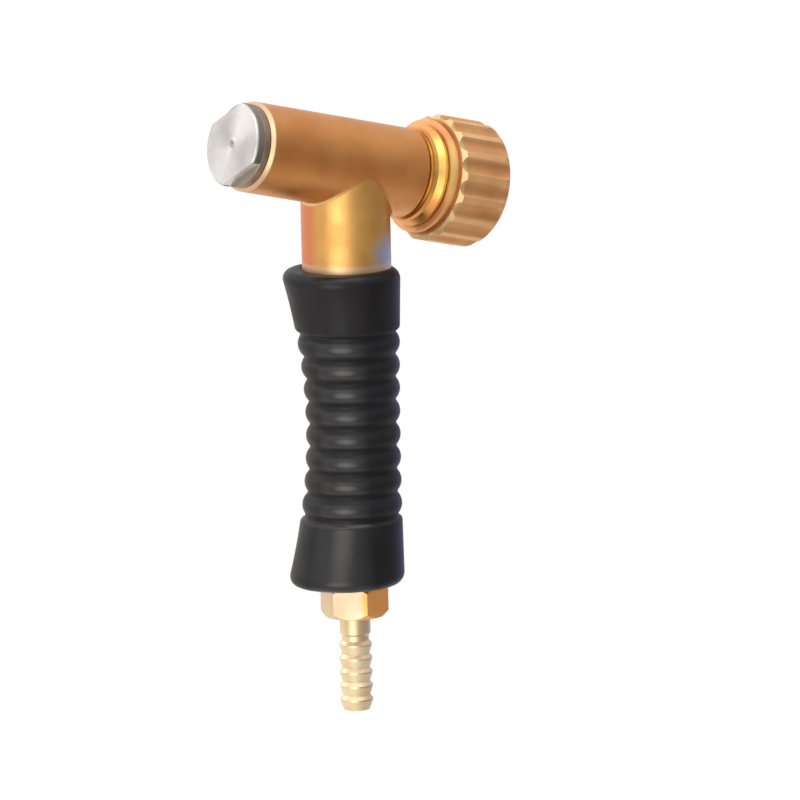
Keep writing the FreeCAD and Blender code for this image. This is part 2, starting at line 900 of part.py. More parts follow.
def grip():
    """The rubber sleeve: flare, beads and skirt about a bore stepped for neck and core."""
    body = new_body("grip")
    shoulder = size("bead_shoulder")
    grip_loft(body, "sleeve", grip_top - size("grip_top_round"),
              grip_bottom + size("grip_bottom_round"), size("bead_depth"), 7)
    grip_loft(body, "flare", grip_top, flare_end, ZERO, 4)
    grip_loft(body, "skirt", skirt_start, grip_bottom, ZERO, 4)
    round_rim(body, "top_edge", grip_top, rim(grip_top), size("grip_top_round"))
    round_rim(body, "flare_edge", flare_end, rim(flare_end), shoulder)
    round_rim(body, "skirt_edge", skirt_start, rim(skirt_start), shoulder)
    round_rim(body, "bottom_edge", grip_bottom, rim(grip_bottom), size("grip_bottom_round"))
    for number in range(int(SIZES["bead_count"])):
        bead(body, f"bead_{number + 1}", bead_first - size("bead_pitch") * number)
    core = radius("core_dia") + size("running_gap")
    neck = radius("neck_dia") + size("running_gap")
    recess = radius("washer_dia") + size("running_gap")
    recess_depth = washer_top + size("running_gap") - grip_bottom
    bore_out(body, "core_bore", core, grip_bottom, grip_top - grip_bottom)
    bore_out(body, "neck_bore", neck, reducer_bottom, grip_top - reducer_bottom)
    bore_out(body, "washer_recess", recess, grip_bottom, recess_depth)
    along_handle(body, ZERO)
    return body


def rim(height):
    front, back = grip_sides(height)
    return (front + back) / 2


def level_edges(shape, height, rim_radius):
    """Edges of this size that lie wholly at one height."""
    found = []
    for number, edge in enumerate(shape.Edges, start=1):
        box = edge.BoundBox
        if box.ZLength > 1e-3 or abs(box.Center.z - height.value) > 1e-2:
            continue
        if abs(edge.Length / (2 * math.pi) - rim_radius.value) < 0.1:
            found.append(f"Edge{number}")
    return found


def union_nut():
    """The hexagon union nut: a turned blank with six milled flats."""
    body = new_body("union_nut")
    flat = radius("nut_flats")
    outer = flat / math.cos(math.radians(30))
    height = size("nut_height")
    chamfer = size("nut_chamfer")
    rise = size("nut_chamfer_rise")
    revolve(body, "blank", [
        (nut_bore_radius, ZERO),
        (outer - chamfer, ZERO),
        (outer, rise),
        (outer, height - rise),
        (outer - chamfer, height),
        (nut_thread_radius, height),
        (nut_thread_radius, size("nut_web")),
        (nut_bore_radius, size("nut_web")),
    ])
    mill_flats(body, flat, outer + 1, size("nut_angle") + 30, height, as_size(6))
    along_handle(body, nut_bottom)
    return body


def hose_tail():
    """The barbed tail: flange inside the union nut, shank, neck and five barbs."""
    body = new_body("hose_tail")
    bore = radius("tail_bore")
    crest = radius("barb_dia")
    root = radius("barb_root_dia")
    corners = [(bore, -size("tail_lead")), (radius("tail_tip_dia"), -size("tail_lead"))]
    for barb in range(int(SIZES["barb_count"])):
        height = size("barb_pitch") * barb if barb else ZERO
        corners += [
            (crest, height),
            (crest, height + size("barb_land")),
            (root, height + size("barb_land") + size("barb_fall")),
        ]
    corners += [
        (root, tail_neck_bottom - size("tail_neck_ease")),
        (radius("tail_neck_dia"), tail_neck_bottom),
        (radius("tail_neck_dia"), tail_neck_top),
        (radius("tail_shank_dia"), tail_neck_top),
        (radius("tail_shank_dia"), tail_flange_bottom),
        (radius("tail_flange_dia"), tail_flange_bottom),
        (radius("tail_flange_dia"), tail_flange_top),
        (bore, tail_flange_top),
    ]
    revolve(body, "tail", corners)
    along_handle(body, ZERO)
    return body


def tail_seal():
    seal = ring("tail_seal", radius("fitting_bore"), radius("tail_flange_dia"),
                size("tail_seal_thick"))
    along_handle(seal, tail_seal_bottom)
    return seal


pieces = [
    torch_body(),
    nose_plug(),
    nose_gasket(),
    gas_diffuser(),
    collet_body(),
    collet(),
    thrust_pin(),
    pin_clip(),
    gland_gasket(),
    rear_gland(),
    back_cap(),
    cap_seal(),
    neck_reducer(),
    neck_seal(),
    stem_tube(),
    handle_core(),
    end_fitting(),
    grip_washer(),
    grip(),
    union_nut(),
    hose_tail(),
    tail_seal(),
]
document.recompute()

for item in document.Objects:
    if "Invalid" in item.State or "Error" in item.State:
        raise ValueError(f"{item.Name} did not build: {item.State}")

os.makedirs("parts", exist_ok=True)
for piece in pieces:
    shape = piece.Shape
    if shape.isNull() or not shape.isValid() or len(shape.Solids) != 1:
        raise ValueError(f"{piece.Label} is not one valid solid")
    shape.exportStep(os.path.join("parts", f"{piece.Label}.step"))
    print(f"{piece.Label:14s} {shape.Volume:9.1f} mm3")
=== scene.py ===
import math

import bpy
from mathutils import Matrix, Vector


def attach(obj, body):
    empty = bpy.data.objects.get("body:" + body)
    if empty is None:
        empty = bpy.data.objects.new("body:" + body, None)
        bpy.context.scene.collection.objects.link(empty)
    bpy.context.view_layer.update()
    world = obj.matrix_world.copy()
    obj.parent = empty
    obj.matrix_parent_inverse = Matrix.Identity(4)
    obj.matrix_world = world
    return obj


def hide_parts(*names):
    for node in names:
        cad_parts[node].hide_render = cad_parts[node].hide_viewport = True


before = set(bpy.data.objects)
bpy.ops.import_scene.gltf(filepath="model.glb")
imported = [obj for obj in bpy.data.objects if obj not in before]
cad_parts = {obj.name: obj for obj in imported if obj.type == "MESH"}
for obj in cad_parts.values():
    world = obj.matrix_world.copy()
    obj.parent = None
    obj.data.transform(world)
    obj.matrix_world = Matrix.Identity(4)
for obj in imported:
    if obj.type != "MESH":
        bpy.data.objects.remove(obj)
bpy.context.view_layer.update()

MM = 0.001
TILT = math.radians(14.2)
HEAD = Vector((0.0, 0.0, 0.15576))
BARREL = Vector((math.cos(TILT), 0.0, -math.sin(TILT)))
BARREL_UP = Vector((math.sin(TILT), 0.0, math.cos(TILT)))
HANDLE_UP = Vector((0.0, 0.0, 1.0))
ACROSS_HANDLE = Vector((1.0, 1.0, 0.0))

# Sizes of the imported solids, in mm. Stations run backwards along the barrel axis, from its
# crossing with the handle axis.
PLUG_FACE = -40.0
GASKET_FRONT = -37.4
BARREL_FRONT = -35.0
KNOB_FRONT = 29.45
BARREL_RADIUS = 12.9
NECK_RADIUS = 12.75
PLUG_RADIUS = 12.1
BOSS_RADIUS = 16.3
KNOB_RADIUS = 18.2

# Where painted reflections and painted shade start and where they are full, in mm: first by
# the height up the handle, then by the height above the barrel axis.
BLUE_REFLECTION_HEIGHTS = (137.5, 129.5)
NECK_FOOT_REFLECTION = (128.4, 127.2)
PLUG_UNDERSIDE_SHADE = (168.0, 160.0)
# Painted shade on the collars: where it starts and is full, at the top and on the underside.
SHADED_COLLAR_TOP = (8.5, 12.0)
SHADED_COLLAR_LOW = (-3.0, -8.5)

# Sides of the handle with painted reflections, painted shade, or polish with painted sheen:
# azimuth, and how near to it, as a cosine, the look starts and is full.
WARM_REFLECTION_SIDE = (-108.0, 0.80, 0.97)
BLUE_REFLECTION_SIDE = (38.0, 0.68, 0.98)
NUT_SHADE_SIDE = (17.0, 0.74, 0.84)
POLISHED_AND_SHEEN_FLANKS = (-46.0, 0.80, 0.97)

# The rubber sleeve's heights up the handle, in mm. Flare and skirt begin a ledge beyond the
# grooves next to the outermost beads.
GRIP_TOP = 125.66
GRIP_BOTTOM = 34.2
NECK_BORE_BOTTOM = 109.96
RECESS_TOP = 35.15
WAIST_HEIGHT = 80.0
BEAD_COUNT = 8
BEAD_FIRST = 103.925
BEAD_PITCH = 6.67
LEDGE = 0.4
FLARE_END = BEAD_FIRST + BEAD_PITCH / 2 + LEDGE
SKIRT_START = BEAD_FIRST - BEAD_PITCH * (BEAD_COUNT - 0.5) - LEDGE

# Its radii, the depth of its grooves and the roundness of its edges, in mm.
NECK_BORE = 12.8
CORE_BORE = 9.05
RECESS_BORE = 10.25
WAIST_FRONT = 12.55
HOLLOW_RADIUS = 150.0
PALM_BOTTOM = 14.1
PALM_LEAN = 0.8
RIM_ROUND = 3.4
SHOULDER = 1.1
BEAD_ROUND = 4.1
BEAD_DEPTH = 1.15
VALLEY_BLEND = 0.22

# Its mesh: columns around, rows along, steps around a rim, the halvings that find where a rim
# meets its bore, and the width of the lip there. Lengths are in mm.
COLUMNS = 112
ROW_HEIGHT = 0.38
RIM_STEPS = 10
HALVINGS = 30
LIP = 0.01

# Camera: the angles and the scale come from fitting the photo's outlines. AIM is a point on
# the handle axis and AIM_PIXEL its place in the photo's frame. The sensor's width is in mm.
AZIMUTH = -35.77
ELEVATION = 10.46
ROLL = -1.3
DISTANCE = 3.0
SENSOR_WIDTH = 36.0
CLIP_END = 50.0
PIXELS_PER_METRE = 3520.0
FRAME_PIXELS = 800
AIM = Vector((0.0, 0.0, 0.156))
AIM_PIXEL = (344.2, 162.08)

# The point that the lamps face.
LAMP_AIM = Vector((0.0, 0.0, 0.12))

# What the metal mirrors: a tent, whose tone changes from straight below, 0, to straight above,
# 1, and soft patches on it. A patch has its direction, the angles within which it is full and
# beyond which it is gone, and the light that it adds or takes away.
TENT = ((0.25, "tent below"), (0.48, "tent level"), (0.90, "tent above"))
PATCHES = (
    ((-54.0, -6.0), 5.0, 31.0, (3.60, 3.47, 3.28)),
    ((-48.0, -36.0), 4.0, 26.0, (-0.48, -0.43, -0.40)),
    ((-155.0, 8.0), 25.0, 85.0, (0.70, 0.69, 0.67)),
    ((-143.0, 27.0), 4.0, 16.0, (3.84, 3.68, 3.60)),
    ((104.0, -10.0), 8.0, 34.0, (0.08, 0.19, 0.72)),
    ((46.0, -6.0), 14.0, 60.0, (-0.19, -0.19, -0.19)),
)

# The floor: its level, half its width, and a painted shade spot by its middle and two distances.
FLOOR_LEVEL = -0.30
FLOOR_HALF = 0.45
SHADE_SPOT = Vector((0.22, -0.18, FLOOR_LEVEL))
SHADE_NEAR = 0.10
SHADE_FAR = 0.45

# Colours, as linear red, green and blue.
TONES = {
    "barrel": (0.540, 0.245, 0.082),
    "stained barrel": (0.470, 0.196, 0.064),
    # Painted highlight on the barrel's front rim.
    "barrel rim highlight": (0.525, 0.350, 0.212),
    # A real brazed joint, also painted paler as a highlight.
    "braze_sheen": (0.56, 0.37, 0.15),
    "neck": (0.562, 0.331, 0.109),
    "stained neck": (0.525, 0.275, 0.081),
    # Painted reflections on the neck: reddish on one side, blue on another, pale at its base.
    "neck warm reflection": (0.512, 0.181, 0.081),
    "neck blue reflection": (0.338, 0.369, 0.425),
    "neck base reflection": (0.587, 0.412, 0.287),
    "plug face": (0.50, 0.49, 0.48),
    "stained plug face": (0.41, 0.40, 0.395),
    "plug centre": (0.30, 0.29, 0.28),
    # Painted shade and reflection on the plug's side, darker on its underside.
    "plug side reflection": (0.262, 0.225, 0.194),
    "plug underside shade": (0.125, 0.150, 0.131),
    "plug flank spots": (0.100, 0.100, 0.088),
    "plug edge": (0.312, 0.306, 0.300),
    # Painted highlight: the plug's flats, painted pale as if lit.
    "lit plug flat": (0.80, 0.77, 0.73),
    "gasket": (0.287, 0.206, 0.163),
    "stained gasket": (0.206, 0.144, 0.112),
    "gasket front": (0.262, 0.244, 0.200),
    "gland": (0.66, 0.42, 0.12),
    "stained gland": (0.59, 0.335, 0.08),
    # Painted shade: a darker orange for the top and underside of the gland.
    "gland edge shade": (0.60, 0.27, 0.08),
    "boss": (0.78, 0.57, 0.25),
    # Painted shade: a darker orange for the top and underside of the knob's boss.
    "boss edge shade": (0.66, 0.36, 0.16),
    "knob rim": (0.575, 0.400, 0.206),
    "flute": (0.56, 0.30, 0.13),
    "stained flute": (0.46, 0.23, 0.09),
    "ridge": (0.64, 0.40, 0.20),
    "stained ridge": (0.58, 0.33, 0.15),
    "nut": (0.594, 0.475, 0.338),
    "stained nut": (0.562, 0.419, 0.269),
    # Painted shade: the union nut's deeper gold for its side turned away from the lamps.
    "shaded nut": (0.80, 0.41, 0.13),
    "stained shaded nut": (0.74, 0.34, 0.10),
    "hose tail": (0.64, 0.52, 0.35),
    "stained hose tail": (0.59, 0.44, 0.26),
    "copper": (0.500, 0.250, 0.156),
    "stained copper": (0.325, 0.144, 0.088),
    "pale copper": (0.562, 0.412, 0.225),
    "stained pale copper": (0.500, 0.325, 0.156),
    "inner brass": (0.500, 0.312, 0.125),
    "stained inner brass": (0.375, 0.206, 0.075),
    "wire": (0.350, 0.350, 0.362),
    "stained wire": (0.225, 0.225, 0.237),
    "seal": (0.012, 0.012, 0.013),
    "dusty seal": (0.03, 0.03, 0.032),
    "sleeve": (0.004, 0.004, 0.005),
    "dusty sleeve": (0.007, 0.007, 0.009),
    "laminate": (0.20, 0.09, 0.05),
    "dark laminate": (0.11, 0.045, 0.025),
    "fibre": (0.42, 0.08, 0.06),
    "dark fibre": (0.26, 0.04, 0.035),
    "tent below": (0.80, 0.70, 0.64),
    "tent level": (0.61, 0.58, 0.54),
    "tent above": (1.20, 1.20, 1.22),
    # The floor glows brighter than white in mirrors and as light; its shaded tone is a painted
    # shade spot.
    "floor": (1.52, 1.49, 1.44),
    "shaded floor": (0.90, 0.90, 0.90),
    "cloudy floor": (0.8, 0.8, 0.8),
    "white": (1.0, 1.0, 1.0),
}


def tint(tone):
    """A named colour with full alpha, as the colour sockets take it."""
    return (*TONES[tone], 1.0)


def towards(azimuth, elevation):
    """A direction seen from the torch: azimuth 0 is -Y and positive ones turn towards +X."""
    azimuth, elevation = math.radians(azimuth), math.radians(elevation)
    return Vector((
        math.sin(azimuth) * math.cos(elevation),
        -math.cos(azimuth) * math.cos(elevation),
        math.sin(elevation),
    ))


def add_object(name, data):
    """A new object, in the scene's own collection."""
    made = bpy.data.objects.new(name, data)
    bpy.context.scene.collection.objects.link(made)
    return made


def place_camera():
    """A long lens at the photo's angle, with the head at its place in the frame."""
    turn, roll = math.radians(AZIMUTH), math.radians(ROLL)
    away = towards(AZIMUTH, ELEVATION)
    level = Vector((math.cos(turn), math.sin(turn), 0.0))
    upright = away.cross(level)
    right = math.cos(roll) * level + math.sin(roll) * upright
    up = math.cos(roll) * upright - math.sin(roll) * level
    middle = FRAME_PIXELS / 2
    target = AIM + right * ((middle - AIM_PIXEL[0]) / PIXELS_PER_METRE)
    target -= up * ((middle - AIM_PIXEL[1]) / PIXELS_PER_METRE)
    data = bpy.data.cameras.new("camera")
    data.sensor_fit = "HORIZONTAL"
    data.sensor_width = SENSOR_WIDTH
    data.lens = SENSOR_WIDTH * DISTANCE * PIXELS_PER_METRE / FRAME_PIXELS
    data.clip_end = CLIP_END
    camera = add_object("camera", data)
    camera.matrix_world = (
        Matrix.Translation(target + away * DISTANCE)
        @ Matrix((right, up, away)).transposed().to_4x4()
    )
    bpy.context.scene.camera = camera


place_camera()


class Graph:
    """A node tree, of a material or of the world, that is built from short calls."""

    def __init__(self, owner, output="ShaderNodeOutputMaterial"):
        owner.use_nodes = True
        self.owner = owner
        self.tree = owner.node_tree
        self.tree.nodes.clear()
        self.output = self.add(output)

    def add(self, kind, settings=None, inputs=None):
        """A node with its properties, and with a value or another node's socket at each input."""
        node = self.tree.nodes.new(kind)
        for name, value in (settings or {}).items():
            setattr(node, name, value)
        for key, value in (inputs or {}).items():
            socket = node.inputs[key]
            if isinstance(value, bpy.types.NodeSocket):
                self.tree.links.new(value, socket)
            else:
                socket.default_value = value
        return node

    def place(self, space="Object"):
        """The point that is shaded. In the world, Generated is the direction looked at."""
        return self.add("ShaderNodeTexCoord").outputs[space]

    def calc(self, operation, first, second=0.0):
        inputs = {0: first, 1: second}
        return self.add("ShaderNodeMath", {"operation": operation}, inputs).outputs[0]

    def vector(self, operation, first, second=(0.0, 0.0, 0.0), third=(0.0, 0.0, 0.0)):
        inputs = {0: first, 1: second, 2: third}
        node = self.add("ShaderNodeVectorMath", {"operation": operation}, inputs)
        return node.outputs["Value" if operation in ("LENGTH", "DOT_PRODUCT") else "Vector"]

    def noise(self, place, scale, detail=3.0, roughness=0.5):
        """Cloudy noise from 0 to 1; a scale of 100 makes clouds of about 10 mm."""
        inputs = {"Vector": place, "Scale": scale, "Detail": detail, "Roughness": roughness}
        return self.add("ShaderNodeTexNoise", None, inputs).outputs["Fac"]

    def streaks(self, along, scale, detail=2.0):
        """Noise that changes along one line only, as turning marks do."""
        inputs = {"W": along, "Scale": scale, "Detail": detail}
        return self.add("ShaderNodeTexNoise", {"noise_dimensions": "1D"}, inputs).outputs["Fac"]

    def spread(self, value, low, high, new_low=0.0, new_high=1.0):
        """A smooth step, from new_low where the value is low to new_high where it is high."""
        settings = {"interpolation_type": "SMOOTHSTEP"}
        inputs = {"Value": value, 1: low, 2: high, 3: new_low, 4: new_high}
        return self.add("ShaderNodeMapRange", settings, inputs).outputs[0]

    def vary(self, noise, least=0.0, most=1.0):
        """Noise, which lies mostly between 0.3 and 0.7, spread between two values."""
        return self.spread(noise, 0.3, 0.7, least, most)

    def swing(self, noise, span):
        """Noise about zero, half the span to either side."""
        return self.calc("MULTIPLY", self.calc("SUBTRACT", noise, 0.5), span)

    def edge(self, length, gone, full, most=1.0):
        """A mask that is 0 at one length and at its most at another, both in mm."""
        return self.spread(length, gone * MM, full * MM, 0.0, most)

    def mix(self, factor, first, second):
        """A number between two numbers."""
        inputs = {0: factor, 2: first, 3: second}
        return self.add("ShaderNodeMix", {"data_type": "FLOAT"}, inputs).outputs[0]

    def blend(self, factor, first, second):
        """A colour between two colours."""
        inputs = {0: factor, 6: first, 7: second}
        return self.add("ShaderNodeMix", {"data_type": "RGBA"}, inputs).outputs[2]

    def stained(self, tone, stain):
        """A named tone that goes over to its stained one where the stain is."""
        return self.blend(stain, tint(tone), tint("stained " + tone))

    def ramp(self, value, stops):
        """Named tones along a value, as (position, tone) pairs in rising order."""
        node = self.add("ShaderNodeValToRGB", None, {0: value})
        elements = node.color_ramp.elements
        elements.remove(elements[1])
        elements[0].position = stops[0][0]
        elements[0].color = tint(stops[0][1])
        for position, tone in stops[1:]:
            elements.new(position).color = tint(tone)
        return node.outputs[0]

    def bump(self, relief, depth, strength=1.0, normal=None):
        """A normal for a relief of a depth in mm, laid over another normal if one is given."""
        inputs = {"Height": relief, "Distance": depth * MM, "Strength": strength}
        if normal is not None:
            inputs["Normal"] = normal
        return self.add("ShaderNodeBump", None, inputs).outputs["Normal"]

    def surface(self, shader):
        """Ends the tree in a shader, and returns the material or world that it belongs to."""
        self.tree.links.new(shader.outputs[0], self.output.inputs["Surface"])
        return self.owner

    def principled(self, inputs):
        """Ends the tree in a Principled shader with these inputs."""
        return self.surface(self.add("ShaderNodeBsdfPrincipled", None, inputs))

    def metal(self, colour, rough, normal, more=None):
        """A metal, with any further inputs of the Principled shader."""
        inputs = {"Base Color": colour, "Metallic": 1.0, "Roughness": rough, "Normal": normal}
        return self.principled({**inputs, **(more or {})})

    def for_camera(self, seen, other):
        """One shader for what the camera sees itself, and another for light and mirroring."""
        straight = self.add("ShaderNodeLightPath").outputs["Is Camera Ray"]
        inputs = {0: straight, 1: other.outputs[0], 2: seen.outputs[0]}
        return self.surface(self.add("ShaderNodeMixShader", None, inputs))


def new_material(name):
    return Graph(bpy.data.materials.new(name))


def barrel_station(graph, place):
    """Distance along the barrel axis, backwards from the crossing of the two axes."""
    return graph.vector("DOT_PRODUCT", graph.vector("SUBTRACT", place, HEAD), BARREL)


def barrel_lift(graph, place):
    """Height above the plane that holds the barrel axis and runs straight across."""
    return graph.vector("DOT_PRODUCT", graph.vector("SUBTRACT", place, HEAD), BARREL_UP)


def barrel_radius(graph, place):
    """Distance from the barrel axis."""
    across = graph.vector("CROSS_PRODUCT", graph.vector("SUBTRACT", place, HEAD), BARREL)
    return graph.vector("LENGTH", across)


def handle_station(graph, place):
    """Height up the handle; for a direction, how far it points up."""
    return graph.vector("DOT_PRODUCT", place, HANDLE_UP)


def handle_radius(graph, place):
    """Distance from the handle axis."""
    return graph.vector("LENGTH", graph.vector("MULTIPLY", place, ACROSS_HANDLE))


def nearness(graph, place, azimuth):
    """How nearly a point lies to one side of the handle axis: 1 is straight to that side."""
    flat = graph.vector("NORMALIZE", graph.vector("MULTIPLY", place, ACROSS_HANDLE))
    return graph.vector("DOT_PRODUCT", flat, towards(azimuth, 0.0))


def on_side(graph, place, azimuth, gone, full):
    """A mask for one side of the handle."""
    return graph.spread(nearness(graph, place, azimuth), gone, full)


def collar_edge_shade(graph, place):
    """Painted shade on the bright collars: a darker orange along their top and on their lower
    side.
    """
    ragged = graph.swing(graph.noise(place, scale=140.0), span=5 * MM)
    lift = graph.calc("ADD", barrel_lift(graph, place), ragged)
    top = graph.edge(lift, *SHADED_COLLAR_TOP)
    return graph.calc("MAXIMUM", top, graph.edge(lift, *SHADED_COLLAR_LOW))


def turned_metal(name, tone, gloss, marks=2200.0, mark_depth=0.004, specks=0.25,
                 station=barrel_station, edge_shade_tone=None):
    """Metal with turning marks around its axis, faint stains and uneven gloss; given an edge tone,
    it also gets painted shade along its top and lower side.
    """
    graph = new_material(name)
    place = graph.place()
    along = station(graph, place)
    clouds = graph.noise(place, scale=95.0, detail=4.0, roughness=0.6)
    colour = graph.stained(tone, graph.spread(clouds, 0.35, 0.7))
    if edge_shade_tone is not None:
        colour = graph.blend(collar_edge_shade(graph, place), colour, tint(edge_shade_tone))
    fine = graph.streaks(along, scale=marks)
    coarse = graph.streaks(along, scale=marks / 6)
    dark_rings = graph.spread(coarse, 0.3, 0.75, 0.0, specks)
    colour = graph.blend(dark_rings, colour, tint("stained " + tone))
    rough = graph.vary(graph.noise(place, scale=240.0), *gloss)
    rough = graph.calc("ADD", rough, graph.swing(fine, span=0.12))
    normal = graph.bump(fine, depth=mark_depth)
    grain = graph.noise(place, scale=900.0, detail=2.0)
    normal = graph.bump(grain, depth=0.006, strength=0.6, normal=normal)
    return graph.metal(colour, rough, normal)


def neck_tone(graph, place, stain):
    """Gold-coloured neck with painted reflections: reddish on one side, blue low down on another,
    and pale at its base.
    """
    height = handle_station(graph, place)
    colour = graph.stained("neck", stain)
    # Painted reflections: reddish on one side, blue low on another, pale at the base.
    warm_reflection = on_side(graph, place, *WARM_REFLECTION_SIDE)
    colour = graph.blend(warm_reflection, colour, tint("neck warm reflection"))
    ragged = graph.swing(graph.noise(place, scale=130.0), span=9 * MM)
    low_on_neck = graph.edge(graph.calc("ADD", height, ragged), *BLUE_REFLECTION_HEIGHTS)
    blue_reflection = graph.calc("MULTIPLY", on_side(graph, place, *BLUE_REFLECTION_SIDE), low_on_neck)
    colour = graph.blend(blue_reflection, colour, tint("neck blue reflection"))
    foot_reflection = graph.edge(height, *NECK_FOOT_REFLECTION, most=0.65)
    return graph.blend(foot_reflection, colour, tint("neck base reflection"))


def tee_brass():
    """Satin brass of the tee: turned barrel with a painted highlight on its front rim, smoother
    gold-coloured neck, and a bright brazed joint at the saddle that is also a painted highlight.
    """
    graph = new_material("tee_brass")
    place = graph.place()
    station = barrel_station(graph, place)
    off_barrel = graph.calc("SUBTRACT", barrel_radius(graph, place), BARREL_RADIUS * MM)
    off_neck = graph.calc("SUBTRACT", handle_radius(graph, place), NECK_RADIUS * MM)
    neck = graph.edge(off_barrel, 0.02, 0.5)
    # The brazed joint at the saddle is real, and is painted brighter as a highlight as well.
    braze_sheen = graph.edge(graph.calc("MINIMUM", off_barrel, off_neck), 0.03, 0.16)
    clouds = graph.noise(place, scale=70.0, detail=5.0, roughness=0.62)
    stain = graph.spread(clouds, 0.32, 0.72)
    colour = graph.blend(neck, graph.stained("barrel", stain), neck_tone(graph, place, stain))
    colour = graph.blend(braze_sheen, colour, tint("braze_sheen"))
    # Painted highlight: a pale band on the barrel's front rim.
    front = graph.edge(station, BARREL_FRONT + 1.4, BARREL_FRONT + 1.2)
    rim = graph.calc("MULTIPLY", front, graph.edge(off_neck, 0.0, 2.0))
    colour = graph.blend(rim, colour, tint("barrel rim highlight"))
    around_barrel = graph.streaks(station, scale=1500.0)
    around_neck = graph.streaks(handle_station(graph, place), scale=1200.0)
    rough = graph.vary(graph.noise(place, scale=160.0, detail=4.0), 0.40, 0.50)
    smoother = graph.calc("MULTIPLY", braze_sheen, 0.12)
    rough = graph.calc("SUBTRACT", rough, smoother)
    normal = graph.bump(graph.mix(neck, around_barrel, around_neck), depth=0.004)
    grain = graph.noise(place, scale=1400.0)
    normal = graph.bump(grain, depth=0.012, strength=0.7, normal=normal)
    return graph.metal(colour, rough, normal)


def spun_disc():
    """Silver-coloured plug: its face is turned, so the light draws a bow tie across it. Its side
    is painted dark as shade and reflection, darker on its underside, and its flats are painted
    pale as a highlight.
    """
    graph = new_material("spun_disc")
    place = graph.place()
    station = barrel_station(graph, place)
    radius = barrel_radius(graph, place)
    face_tone = graph.stained("plug face", graph.vary(graph.noise(place, scale=130.0, detail=4.0)))
    # Painted shade and reflection: the plug's side is dark brown, darker still on its underside.
    low = graph.edge(handle_station(graph, place), *PLUG_UNDERSIDE_SHADE)
    side_reflection_tone = graph.blend(low, tint("plug side reflection"), tint("plug underside shade"))
    spots = graph.spread(graph.noise(place, scale=90.0), 0.35, 0.75, 0.0, 0.4)
    side_reflection_tone = graph.blend(spots, side_reflection_tone, tint("plug flank spots"))
    edge = graph.edge(station, PLUG_FACE + 0.6, PLUG_FACE + 0.45)
    side_reflection_tone = graph.blend(edge, side_reflection_tone, tint("plug edge"))
    # Painted highlight: the plug's flats are painted pale, as if lit.
    flat = graph.edge(radius, PLUG_RADIUS - 0.2, PLUG_RADIUS - 0.5)
    side_reflection_tone = graph.blend(flat, side_reflection_tone, tint("lit plug flat"))
    face = graph.edge(station, PLUG_FACE + 0.12, PLUG_FACE + 0.03)
    colour = graph.blend(face, side_reflection_tone, face_tone)
    centre = graph.edge(radius, 1.5, 0.8)
    colour = graph.blend(centre, colour, tint("plug centre"))
    rings = graph.streaks(radius, scale=2600.0, detail=3.0)
    around = graph.vector("CROSS_PRODUCT", graph.vector("SUBTRACT", place, HEAD), BARREL)
    outward = graph.vector("NORMALIZE", graph.vector("CROSS_PRODUCT", BARREL, around))
    spun = {"Anisotropic": 0.75, "Tangent": outward}
    return graph.metal(colour, graph.vary(rings, 0.43, 0.53), graph.bump(rings, depth=0.003), spun)


def fluted_brass():
    """The knob: darker in the flutes, paler on the ridges and on the front rim."""
    graph = new_material("fluted_brass")
    place = graph.place()
    station = barrel_station(graph, place)
    radius = barrel_radius(graph, place)
    clouds = graph.noise(place, scale=110.0, detail=5.0, roughness=0.6)
    stain = graph.spread(clouds, 0.3, 0.72)
    worn = graph.edge(radius, KNOB_RADIUS - 0.9, KNOB_RADIUS - 0.05)
    colour = graph.blend(worn, graph.stained("flute", stain), graph.stained("ridge", stain))
    boss = graph.edge(station, KNOB_FRONT - 0.05, KNOB_FRONT - 0.35)
    # Painted shade along the top and underside of the boss.
    boss_tone = graph.blend(collar_edge_shade(graph, place), tint("boss"), tint("boss edge shade"))
    colour = graph.blend(boss, colour, boss_tone)
    behind_boss = graph.edge(station, KNOB_FRONT - 0.35, KNOB_FRONT - 0.05)
    near_front = graph.edge(station, KNOB_FRONT + 1.55, KNOB_FRONT + 1.15)
    outside_boss = graph.edge(radius, BOSS_RADIUS + 0.1, BOSS_RADIUS + 0.6)
    rim = graph.calc("MULTIPLY", behind_boss, near_front)
    rim = graph.calc("MULTIPLY", rim, outside_boss)
    colour = graph.blend(rim, colour, tint("knob rim"))
    rough = graph.vary(graph.noise(place, scale=200.0), 0.54, 0.66)
    normal = graph.bump(graph.streaks(station, scale=1800.0), depth=0.005)
    grain = graph.noise(place, scale=1100.0)
    normal = graph.bump(grain, depth=0.010, strength=0.7, normal=normal)
    return graph.metal(colour, rough, normal)


def gasket_copper():
    """Dull copper of the ring behind the plug, greyer on its front face."""
    graph = new_material("gasket_copper")
    place = graph.place()
    clouds = graph.noise(place, scale=150.0, detail=4.0, roughness=0.6)
    colour = graph.stained("gasket", graph.vary(clouds))
    front = graph.edge(barrel_station(graph, place), GASKET_FRONT + 0.15, GASKET_FRONT + 0.02)
    colour = graph.blend(front, colour, tint("gasket front"))
    marks = graph.streaks(barrel_radius(graph, place), scale=2400.0)
    return graph.metal(colour, graph.vary(marks, 0.42, 0.56), graph.bump(marks, depth=0.004))


def hexagon_brass():
    """The union nut: pale brass, with a deeper gold painted on the side turned away from the lamps
    as shade.
    """
    graph = new_material("hexagon_brass")
    place = graph.place()
    clouds = graph.noise(place, scale=120.0, detail=5.0, roughness=0.6)
    stain = graph.spread(clouds, 0.3, 0.72)
    # Painted shade: the side turned from the lamps goes over to a deeper gold.
    nut_shade = on_side(graph, place, *NUT_SHADE_SIDE)
    colour = graph.blend(nut_shade, graph.stained("nut", stain), graph.stained("shaded nut", stain))
    flattened = graph.vector("MULTIPLY", place, (1.0, 1.0, 9.0))
    scratches = graph.noise(flattened, scale=420.0, detail=4.0, roughness=0.7)
    rough = graph.vary(graph.noise(place, scale=200.0), 0.46, 0.56)
    return graph.metal(colour, rough, graph.bump(scratches, depth=0.006, strength=0.8))


